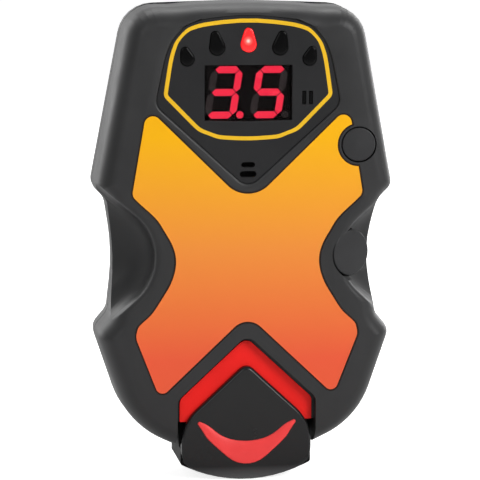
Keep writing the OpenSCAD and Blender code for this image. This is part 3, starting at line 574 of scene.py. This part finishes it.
def board_green(name):
    """Solder mask over a grid of copper tracks."""
    material, tree, shader = moulded(
        name, (0.06, 0.3, 0.14), depth=0.004 * MM, rough=(0.3, 0.42), grain=0.6)
    place = node(tree, "ShaderNodeTexCoord")
    turn = node(tree, "ShaderNodeMapping")
    turn.inputs["Rotation"].default_value = (math.radians(90.0), 0.0, 0.0)
    tracks = node(tree, "ShaderNodeTexBrick", Scale=1.0 / (6 * MM))
    tracks.inputs["Color1"].default_value = linear((0.05, 0.3, 0.14))
    tracks.inputs["Color2"].default_value = linear((0.07, 0.34, 0.16))
    tracks.inputs["Mortar"].default_value = linear((0.14, 0.45, 0.22))
    tracks.inputs["Mortar Size"].default_value = 0.03
    tree.links.new(place.outputs["Object"], turn.inputs["Vector"])
    tree.links.new(turn.outputs[0], tracks.inputs["Vector"])
    tree.links.new(tracks.outputs["Color"], shader.inputs["Base Color"])
    return material


def copper_wire(name, axis):
    """Enamelled wire, turn beside turn along one axis."""
    material, tree, shader = new_material(name)
    shader.inputs["Metallic"].default_value = 0.8
    turns = node(tree, "ShaderNodeMath", operation="MULTIPLY")
    turns.inputs[1].default_value = 2 * math.pi / WIRE
    wave = node(tree, "ShaderNodeMath", operation="SINE")
    tree.links.new(axis_place(tree, axis), turns.inputs[0])
    tree.links.new(turns.outputs[0], wave.inputs[0])
    add_bump(tree, shader, wave.outputs[0], 0.08 * MM)
    base = linear((0.72, 0.38, 0.17))
    level = map_range(tree, wave.outputs[0], -1.0, 1.0, 0.0, 1.0)
    # Painted shade: the colour darkens to a third in the troughs between turns, where the turns shade
    # each other.
    tint = ramp(tree, level, ((0.0, shade(base, 0.35)), (0.6, base)))
    gloss = map_range(tree, level, 0.0, 1.0, 0.5, 0.28)
    tree.links.new(tint, shader.inputs["Base Color"])
    tree.links.new(gloss, shader.inputs["Roughness"])
    return material


def cell_wrap(name):
    """Printed wrap with bare metal at both ends."""
    material, tree, shader = moulded(
        name, (0.2, 0.25, 0.5), depth=0.002 * MM, rough=(0.25, 0.35), grain=0.5)
    low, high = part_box("battery_cells")
    height = map_range(tree, axis_place(tree, 2), low[2], high[2], 0.0, 1.0)
    wrap = linear((0.13, 0.17, 0.36))
    band = linear((0.78, 0.62, 0.3))
    steel = linear((0.72, 0.72, 0.72))
    tint = ramp(tree, height, (
        (0.03, steel), (0.035, wrap), (0.76, wrap), (0.765, band), (0.965, band), (0.97, steel)))
    tree.links.new(tint, shader.inputs["Base Color"])
    return material


FINISHES = {make.__name__: make for make in (
    shell_plastic, bezel_film, border_print, label_print, red_print, grip_red, cap_black, slider_black,
    button_plastic, switch_plastic, seal_rubber, module_black, speaker_black, emitter_white, ferrite,
    digit_lit, digit_dark, light_lit, light_dark, lens_clear, sensor_glass, screw_steel, spring_steel,
    magnet_nickel, contact_nickel, brass_disc, board_green, cell_wrap)}


def finish(slot):
    """The material of a slot, made the first time that it is asked for."""
    name = slot + "_finish"
    return bpy.data.materials.get(name) or FINISHES[slot](name)


# Piece helpers

def dress(*names):
    """Gives CAD nodes that keep their mesh the finish of their slot."""
    for name in names:
        wear(name, finish(SLOT_OF[name]))


def wear(name, material):
    """Puts one material on a CAD node."""
    materials = frame["nodes"][name].data.materials
    materials.clear()
    materials.append(material)


def cad_copy(name):
    """A copy of a CAD node's mesh with its doubles merged and its flat faces joined."""
    bm = bmesh.new()
    bm.from_mesh(frame["nodes"][name].data)
    bmesh.ops.remove_doubles(bm, verts=bm.verts, dist=SAME_PLACE)
    bmesh.ops.dissolve_limit(bm, angle_limit=math.radians(0.4), verts=bm.verts, edges=bm.edges)
    return bm


def lies_flat(edge):
    """Whether both ends of an edge are equally deep."""
    return abs(edge.verts[0].co.y - edge.verts[1].co.y) < SAME_PLACE


def is_wall(face):
    """Whether a face runs from the front to the back."""
    return abs(face.normal.y) < 0.1


def refine_arcs(bm, longest=4.5 * MM, sharp=35.0, cuts=3):
    """Puts points on a plate's true arcs, where its outline steps along them in short straight edges."""
    arcs = []
    for face in bm.faces:
        rims = [e for e in face.edges if lies_flat(e)]
        posts = [e for e in face.edges if e not in rims]
        strip = is_wall(face) and len(rims) == 2 and len(posts) == 2
        if not strip or rims[0].calc_length() > longest:
            continue
        bends = [e.calc_face_angle_signed() for e in posts]
        bend = max((b for b in bends if abs(b) < math.radians(sharp)), key=abs, default=0.0)
        rise = face.normal * rims[0].calc_length() / 2 * math.tan(bend / 4)
        arcs += [(e, e.verts[0].co.copy(), e.verts[1].co - e.verts[0].co, rise) for e in rims]
    made = bmesh.ops.subdivide_edges(bm, edges=[arc[0] for arc in arcs], cuts=cuts)
    for vert in (g for g in made["geom_inner"] if isinstance(g, bmesh.types.BMVert)):
        for _, start, chord, rise in arcs:
            along = (vert.co - start).dot(chord) / chord.length_squared
            if 0 < along < 1 and (start + chord * along - vert.co).length < 0.1 * SAME_PLACE:
                vert.co += rise * 4 * along * (1 - along)
                break


def bell(away, reach):
    """A smooth falloff: 1 on the spot, near 0 at twice the reach."""
    return math.exp(-(away / reach) ** 2)


def ease_waist(bm):
    """Bends the straight sides of the label's waist, or of its seat in the shell, into long curves."""
    face_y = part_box("front_shell")[0][1]

    def in_waist(vert):
        return WAIST_FOOT < vert.co.z < WAIST_HEAD and abs(vert.co.x) > WAIST_INNER

    def waist_verts():
        for face in bm.faces:
            depths = [v.co.y - face_y for v in face.verts]
            if is_wall(face) and min(depths) > -0.01 * MM and max(depths) < INLAY_DEPTH:
                yield from (v for v in face.verts if in_waist(v))

    def along_waist(edge, waist):
        first, second = edge.verts
        one_side = first.co.x * second.co.x > 0
        return one_side and first in waist and second in waist and lies_flat(edge)

    waist = set(waist_verts())
    sides = [e for e in bm.edges if e.calc_length() > WAIST_LONG_EDGE and along_waist(e, waist)]
    bmesh.ops.subdivide_edges(bm, edges=sides, cuts=EASE_CUTS)
    for vert in set(waist_verts()):
        shift = sum(out * bell(vert.co.z - place, reach) for place, reach, out in WAIST_EASE)
        vert.co.x += shift * math.copysign(1.0, vert.co.x)


def ease_shift(place, corners):
    """How far easing some corners moves a place, the same for every piece there."""
    shift = Vector()
    side = math.copysign(1.0, place.x)
    for across, up, reach, shift_across, shift_up in corners:
        away = math.hypot(abs(place.x) - across, place.z - up)
        shift += bell(away, reach) * Vector((side * shift_across, 0.0, shift_up))
    return shift


def ease_corners(bm, corners):
    """Bends the corners of an outline into long curves."""
    def moves(edge):
        first, second = (v.co for v in edge.verts)
        places = (first, second, (first + second) / 2)
        return max(ease_shift(p, corners).length for p in places) > EASE_LEAST

    bent = [e for e in bm.edges if lies_flat(e) and e.calc_length() > EASE_LONG_EDGE and moves(e)]
    bmesh.ops.subdivide_edges(bm, edges=bent, cuts=EASE_CUTS)
    for vert in bm.verts:
        vert.co += ease_shift(vert.co, corners)


def plate(name, width, corners=()):
    """A flat CAD node with true arcs in its outline and rounded edges."""
    bm = cad_copy(name)
    refine_arcs(bm)
    ease_corners(bm, corners)
    round_edges(add_piece(bm, name + "_plate", name), width)


def linked(bm, name):
    """An object of a finished bmesh, linked to the scene."""
    mesh = bpy.data.meshes.new(name)
    bm.to_mesh(mesh)
    bm.free()
    made = bpy.data.objects.new(name, mesh)
    bpy.context.scene.collection.objects.link(made)
    return made


def add_piece(bm, name, stands_for, smooth=32.0):
    """Links a finished bmesh as a piece that stands for a CAD node."""
    piece = linked(bm, name)
    piece.data.shade_smooth()
    piece.data.set_sharp_from_angle(angle=math.radians(smooth))
    piece.data.materials.append(finish(SLOT_OF[stands_for]))
    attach(piece, BODY_OF[stands_for])
    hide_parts(stands_for)
    return piece


def rounded(name, width, angle=35.0, corners=()):
    """A copy of a CAD node whose sharp edges are rounded."""
    bm = cad_copy(name)
    ease_corners(bm, corners)
    piece = add_piece(bm, name + "_rounded", name)
    round_edges(piece, width, angle)
    return piece


def round_edges(piece, width, angle=35.0):
    """Rounds a piece's sharp edges."""
    bevel = piece.modifiers.new("round_edges", "BEVEL")
    bevel.width = width
    bevel.segments = 2
    bevel.profile = 0.5
    bevel.limit_method = "ANGLE"
    bevel.angle_limit = math.radians(angle)
    bevel.use_clamp_overlap = True
    bevel.harden_normals = True


def flat_fronts(piece):
    """Keeps large flat faces flat where they run into rounded edges."""
    even = piece.modifiers.new("even_normals", "WEIGHTED_NORMAL")
    even.mode = "FACE_AREA"
    even.weight = 100
    even.keep_sharp = True


def dome(bm, rise, reach, steps=5):
    """Raises the forward ends of pegs into domes."""
    front = min(v.co.y for v in bm.verts)
    ends = [f for f in bm.faces if f.normal.y < -0.9 and f.calc_center_median().y < front + 0.02 * MM]
    turns = [math.radians(90.0 * k / steps) for k in range(1, steps + 1)]
    raise_faces(bm, ends, [(reach * (1 - math.cos(t)), rise * math.sin(t)) for t in turns])


def raise_faces(bm, faces, profile):
    """Raises faces along a profile of points: how far in from the rim, and how high."""
    last = (0.0, 0.0)
    for point in profile:
        bmesh.ops.inset_region(
            bm, faces=faces, thickness=point[0] - last[0], depth=point[1] - last[1], use_even_offset=True)
        last = point


def scoop_outline(radius, arm_up, arm_down, steps=28):
    """Rim of the right scoop, seen from the front: an arc between two straight arms."""
    first = 90.0 + arm_up
    sweep = 180.0 - arm_up - arm_down
    turns = [math.radians(first + sweep * k / steps) for k in range(steps + 1)]
    arc = [SCOOP_MIDDLE + Vector((math.cos(t), 0.0, math.sin(t))) * (radius + SCOOP_LIP) for t in turns]
    upper_arm = Vector((math.sin(turns[0]), 0.0, -math.cos(turns[0]))) * SCOOP_ARM
    lower_arm = Vector((-math.sin(turns[-1]), 0.0, math.cos(turns[-1]))) * SCOOP_ARM
    return [arc[0] + upper_arm] + arc + [arc[-1] + lower_arm]


def scoop_cutter(side, radius, arm_up, arm_down, power_of_wall):
    """The space of a finger scoop: a bowl with two straight arms, under a rounded lip."""
    bm = bmesh.new()
    face_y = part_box("front_shell")[0][1]
    outline = scoop_outline(radius, arm_up, arm_down)
    front = bm.faces.new([bm.verts.new((side * p.x, face_y - MM, p.z)) for p in outline])
    made = bmesh.ops.extrude_face_region(bm, geom=[front], use_keep_orig=True)["geom"]
    floor_verts = [g for g in made if isinstance(g, bmesh.types.BMVert)]
    bmesh.ops.translate(bm, verts=floor_verts, vec=(0.0, MM, 0.0))
    bmesh.ops.recalc_face_normals(bm, faces=bm.faces)
    floor = [g for g in made if isinstance(g, bmesh.types.BMFace)]
    profile = []
    for step in range(1, 7):
        turn = math.radians(15.0 * step)
        profile.append((SCOOP_LIP * math.sin(turn), SCOOP_LIP * (1 - math.cos(turn))))
    for step in range(1, 11):
        turn = math.radians(8.0 * step)
        inwards = radius * (1 - math.cos(turn) ** power_of_wall)
        profile.append((SCOOP_LIP + inwards, SCOOP_LIP + SCOOP_DEPTH * math.sin(turn) ** power_of_wall))
    raise_faces(bm, floor, profile)
    return bm


def cut_away(bm, cutters):
    """A bmesh with other ones cut out of it."""
    block = linked(bm, "block")
    tools = [linked(cutter, "cutter") for cutter in cutters]
    for tool in tools:
        cut = block.modifiers.new("cut", "BOOLEAN")
        cut.operation = "DIFFERENCE"
        cut.solver = "EXACT"
        cut.object = tool
    result = block.evaluated_get(bpy.context.evaluated_depsgraph_get()).to_mesh()
    left = bmesh.new()
    left.from_mesh(result)
    for made in tools + [block]:
        mesh = made.data
        bpy.data.objects.remove(made)
        bpy.data.meshes.remove(mesh)
    bmesh.ops.remove_doubles(left, verts=left.verts, dist=SAME_PLACE)
    return left


# Pieces

class TRANSCEIVER_OT_shells(bpy.types.Operator):
    """Front and rear shell, the gasket between them and the case screws"""

    bl_idname = "transceiver.shells"
    bl_label = "Shells"

    def execute(self, context):
        dress("shell_gasket")
        self.front()
        rounded("rear_shell", sizes().shell_edge, 50.0)
        rounded("case_screws", sizes().fine_edge)
        return {"FINISHED"}

    def front(self):
        """The front shell with its scoops opened wider and the seats of label and film eased."""
        bm = cad_copy("front_shell")
        ease_waist(bm)
        bm = cut_away(bm, [scoop_cutter(*scoop) for scoop in SCOOPS])
        ease_corners(bm, DISPLAY_HEAD_EASE)
        round_edges(add_piece(bm, "front_shell_rounded", "front_shell"), sizes().shell_edge, 50.0)


class TRANSCEIVER_OT_face(bpy.types.Operator):
    """Label, dark film and the printed border on it"""

    bl_idname = "transceiver.face"
    bl_label = "Face"

    def execute(self, context):
        self.label()
        plate("display_bezel", sizes().fine_edge / 2, DISPLAY_EASE)
        plate("window_border", sizes().fine_edge / 2, DISPLAY_EASE)
        return {"FINISHED"}

    def label(self):
        """The label with a marked strip along its edge, which its material colours dark as painted shade.
        """
        bm = cad_copy("face_label")
        refine_arcs(bm)
        ease_waist(bm)
        mark = bm.faces.layers.float.new(PAINTED_SHADE_MARK)
        front = [f for f in bm.faces if f.normal.y < -0.9]
        bmesh.ops.inset_region(bm, faces=front, thickness=sizes().label_shade_width, use_even_offset=True)
        for face in bm.faces:
            face[mark] = 1.0
        for face in front:
            face[mark] = 0.0
        add_piece(bm, "face_label_printed", "face_label")


class TRANSCEIVER_OT_display(bpy.types.Operator):
    """Window pane, display module and its segments"""

    bl_idname = "transceiver.display"
    bl_label = "Display"

    def execute(self, context):
        rounded("display_lens", sizes().fine_edge)
        for name in ("display_module", "lit_segments", "dark_segments"):
            bm = cad_copy(name)
            self.widen(bm)
            add_piece(bm, name + "_wide", name)
        return {"FINISHED"}

    def widen(self, bm):
        """Draws both digits, or their seats in the module, wider with strokes of the same width."""
        low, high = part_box("lit_segments")
        middle = (low[2] + high[2]) / 2
        for vert in bm.verts:
            if abs(vert.co.x) > DIGIT_PITCH - DIGIT_MARGIN:
                continue
            side = math.copysign(1.0, vert.co.x)
            across = vert.co.x - side * DIGIT_PITCH / 2 - (vert.co.z - middle) * DIGIT_SLANT
            vert.co.x += min(max(across / DIGIT_CORE, -1.0), 1.0) * DIGIT_WIDENING + DIGIT_SHIFT[side]


class TRANSCEIVER_OT_lights(bpy.types.Operator):
    """Direction lights with domed ends, indicator bars and emitters"""

    bl_idname = "transceiver.lights"
    bl_label = "Lights"

    def execute(self, context):
        for name in ("centre_light", "side_lights"):
            bm = cad_copy(name)
            ease_corners(bm, DISPLAY_EASE)
            dome(bm, sizes().light_rise, sizes().light_reach)
            add_piece(bm, name + "_domed", name, 50.0)
        rounded("indicator_bars", sizes().fine_edge)
        dress("light_emitters")
        return {"FINISHED"}


class TRANSCEIVER_OT_buttons(bpy.types.Operator):
    """Mode button and side button with their switches"""

    bl_idname = "transceiver.buttons"
    bl_label = "Buttons"

    def execute(self, context):
        rounded("mode_button", sizes().fine_edge, 50.0)
        rounded("side_button", sizes().fine_edge, 50.0)
        dress("mode_switch", "side_switch")
        return {"FINISHED"}


class TRANSCEIVER_OT_slider(bpy.types.Operator):
    """Search slider, the chevron that it uncovers, its click spring and its sensor"""

    bl_idname = "transceiver.slider"
    bl_label = "Search slider"

    def execute(self, context):
        rounded("slider_body", sizes().shell_edge)
        plate("search_flag", sizes().fine_edge)
        self.cap()
        rounded("slider_grip", sizes().fine_edge, 50.0, CAP_EASE)
        dress("slider_magnet", "detent_spring", "slide_sensor")
        return {"FINISHED"}

    def cap(self):
        """The cap with its steep edge eased to a round one. Its foot keeps its own long curve."""
        bm = cad_copy("slider_cap")
        bm.normal_update()
        front = min(v.co.y for v in bm.verts)
        thick = max(v.co.y for v in bm.verts) - front
        low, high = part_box("slider_grip")
        for vert in bm.verts:
            depth = vert.co.y - front
            beside_grip = low[0] - MM < vert.co.x < high[0] + MM
            at_grip = beside_grip and low[2] - MM < vert.co.z < high[2] + MM
            if at_grip or depth > 0.99 * thick:
                continue
            out = Vector((vert.normal.x, 0.0, vert.normal.z)).normalized()
            ease = min(max((out.z - CAP_EASE_FROM) / CAP_EASE_SPAN, 0.0), 1.0)
            turn = math.asin(1 - depth / thick)
            vert.co -= out * ease * (sizes().cap_round - CAP_EDGE) * (1 - math.cos(turn))
            vert.co.y -= ease * depth * (1 - sizes().cap_round / thick)
        ease_corners(bm, CAP_EASE)
        flat_fronts(add_piece(bm, "slider_cap_rounded", "slider_cap", 40.0))


class TRANSCEIVER_OT_back(bpy.types.Operator):
    """Battery door, its screw, the power knob and the leash pin"""

    bl_idname = "transceiver.back"
    bl_label = "Back"

    def execute(self, context):
        flat_fronts(rounded("battery_door", sizes().shell_edge))
        rounded("power_knob", sizes().fine_edge)
        rounded("door_screw", sizes().fine_edge)
        dress("door_seal", "screw_insert", "knob_ring", "power_switch", "leash_pin")
        return {"FINISHED"}


class TRANSCEIVER_OT_inside(bpy.types.Operator):
    """Board, speaker, antennas and cells"""

    bl_idname = "transceiver.inside"
    bl_label = "Inside"

    def execute(self, context):
        dress("circuit_board", "speaker", "speaker_seal", "battery_cells", "cell_contacts")
        for name, axis in (("cross", 0), ("long", 2), ("depth", 1)):
            dress(name + "_core")
            wear(name + "_winding", copper_wire(name + "_wire_finish", axis))
        return {"FINISHED"}


# Studio

def joined(tree, operation, first, second):
    """Two sockets joined by a math operation."""
    made = node(tree, "ShaderNodeMath", operation=operation)
    tree.links.new(first, made.inputs[0])
    tree.links.new(second, made.inputs[1])
    return made.outputs[0]


def ray_masks(tree):
    """Two masks: camera rays, and the rays that show things in metal and glass."""
    rays = node(tree, "ShaderNodeLightPath").outputs
    mirrored = joined(tree, "MAXIMUM", rays["Is Glossy Ray"], rays["Is Transmission Ray"])
    return rays["Is Camera Ray"], mirrored


def lamp(name, place, width, height, watts):
    """A soft rectangular lamp that points at the middle of the case."""
    data = bpy.data.lights.new(name, "AREA")
    data.shape = "RECTANGLE"
    data.size = width
    data.size_y = height
    data.energy = watts
    made = bpy.data.objects.new(name, data)
    made.location = place
    made.rotation_euler = (AIM - Vector(place)).to_track_quat("-Z", "Y").to_euler()
    bpy.context.scene.collection.objects.link(made)


class TRANSCEIVER_OT_stage(bpy.types.Operator):
    """Floor, lamps, world and camera"""

    bl_idname = "transceiver.stage"
    bl_label = "Studio"

    def execute(self, context):
        scene = context.scene
        scene.view_settings.view_transform = "Standard"
        self.floor()
        self.world(scene)
        for name, place, width, height, setting in LAMPS:
            lamp(name, place, width, height, getattr(sizes(), setting))
        self.camera(scene)
        return {"FINISHED"}

    def floor(self):
        """A matt floor that keeps the object's shadow and looks white to the camera."""
        bm = bmesh.new()
        bmesh.ops.create_grid(bm, x_segments=1, y_segments=1, size=sizes().floor_side / 2)
        floor = linked(bm, "floor")
        material, tree, shader = new_material("studio_floor")
        shader.inputs["Base Color"].default_value = (0.86, 0.86, 0.86, 1.0)
        shader.inputs["Roughness"].default_value = 0.8
        shader.inputs["Specular IOR Level"].default_value = 0.1
        glow = node(tree, "ShaderNodeEmission")
        camera, mirrored = ray_masks(tree)
        seen = map_range(tree, camera, 0.0, 1.0, 0.0, FLOOR_SEEN)
        level = joined(tree, "MAXIMUM", seen, map_range(tree, mirrored, 0.0, 1.0, 0.0, FLOOR_MIRRORED))
        both = node(tree, "ShaderNodeAddShader")
        out = next(n for n in tree.nodes if n.type == "OUTPUT_MATERIAL")
        tree.links.new(level, glow.inputs["Strength"])
        tree.links.new(shader.outputs[0], both.inputs[0])
        tree.links.new(glow.outputs[0], both.inputs[1])
        tree.links.new(both.outputs[0], out.inputs["Surface"])
        floor.data.materials.append(material)

    def world(self, scene):
        """Dim light from all round, white to the camera, and darker in mirrors on the camera's side."""
        world = bpy.data.worlds.new("studio")
        scene.world = world
        world.use_nodes = True
        tree = world.node_tree
        background = next(n for n in tree.nodes if n.type == "BACKGROUND")
        background.inputs["Color"].default_value = (1.0, 1.0, 1.0, 1.0)
        camera, mirrored = ray_masks(tree)
        room = map_range(tree, self.way_back(tree), *ROOM_RANGE, sizes().front_gloom, 1.0)
        seen = joined(tree, "MAXIMUM", camera, joined(tree, "MULTIPLY", mirrored, room))
        level = map_range(tree, seen, 0.0, 1.0, sizes().ambient, 1.0)
        tree.links.new(level, background.inputs["Strength"])

    def way_back(self, tree):
        """How far a direction points to the back, from -1 to 1."""
        way = node(tree, "ShaderNodeTexCoord")
        split = node(tree, "ShaderNodeSeparateXYZ")
        tree.links.new(way.outputs["Generated"], split.inputs[0])
        return split.outputs["Y"]

    def camera(self, scene):
        """The camera, in the place that the photo was taken from."""
        back = Vector((
            math.sin(CAMERA_AZIMUTH) * math.cos(CAMERA_ELEVATION),
            -math.cos(CAMERA_AZIMUTH) * math.cos(CAMERA_ELEVATION),
            math.sin(CAMERA_ELEVATION)))
        data = bpy.data.cameras.new("camera")
        data.lens = CAMERA_LENS
        data.sensor_width = 36.0
        data.clip_start = 0.01
        data.clip_end = 50.0
        made = bpy.data.objects.new("camera", data)
        scene.collection.objects.link(made)
        turn = (-back).to_track_quat("-Z", "Y").to_matrix() @ Matrix.Rotation(CAMERA_ROLL, 3, "Z")
        made.matrix_world = Matrix.Translation(AIM + back * sizes().camera_distance) @ turn.to_4x4()
        scene.camera = made


OPERATORS = (
    TRANSCEIVER_OT_shells,
    TRANSCEIVER_OT_face,
    TRANSCEIVER_OT_display,
    TRANSCEIVER_OT_lights,
    TRANSCEIVER_OT_buttons,
    TRANSCEIVER_OT_slider,
    TRANSCEIVER_OT_back,
    TRANSCEIVER_OT_inside,
    TRANSCEIVER_OT_stage,
)


class TRANSCEIVER_PT_panel(bpy.types.Panel):
    """Settings and steps of the transceiver"""

    bl_idname = "TRANSCEIVER_PT_panel"
    bl_label = "Transceiver"
    bl_space_type = "VIEW_3D"
    bl_region_type = "UI"
    bl_category = "Transceiver"

    def draw(self, context):
        for group in (context.scene.transceiver_colours, context.scene.transceiver_sizes):
            box = self.layout.box()
            for key in group.bl_rna.properties.keys():
                if key not in ("rna_type", "name"):
                    box.prop(group, key)
        for operator in OPERATORS:
            self.layout.operator(operator.bl_idname)


CLASSES = (TransceiverColours, TransceiverSizes) + OPERATORS + (TRANSCEIVER_PT_panel,)


def register():
    """Adds the classes and the scene's settings."""
    for cls in CLASSES:
        bpy.utils.register_class(cls)
    bpy.types.Scene.transceiver_colours = bpy.props.PointerProperty(type=TransceiverColours)
    bpy.types.Scene.transceiver_sizes = bpy.props.PointerProperty(type=TransceiverSizes)


def unregister():
    """Takes them out again."""
    del bpy.types.Scene.transceiver_sizes
    del bpy.types.Scene.transceiver_colours
    for cls in reversed(CLASSES):
        bpy.utils.unregister_class(cls)


def main():
    """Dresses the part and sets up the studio."""
    register()
    bpy.ops.transceiver.shells()
    bpy.ops.transceiver.face()
    bpy.ops.transceiver.display()
    bpy.ops.transceiver.lights()
    bpy.ops.transceiver.buttons()
    bpy.ops.transceiver.slider()
    bpy.ops.transceiver.back()
    bpy.ops.transceiver.inside()
    bpy.ops.transceiver.stage()


if __name__ == "__main__":
    main()
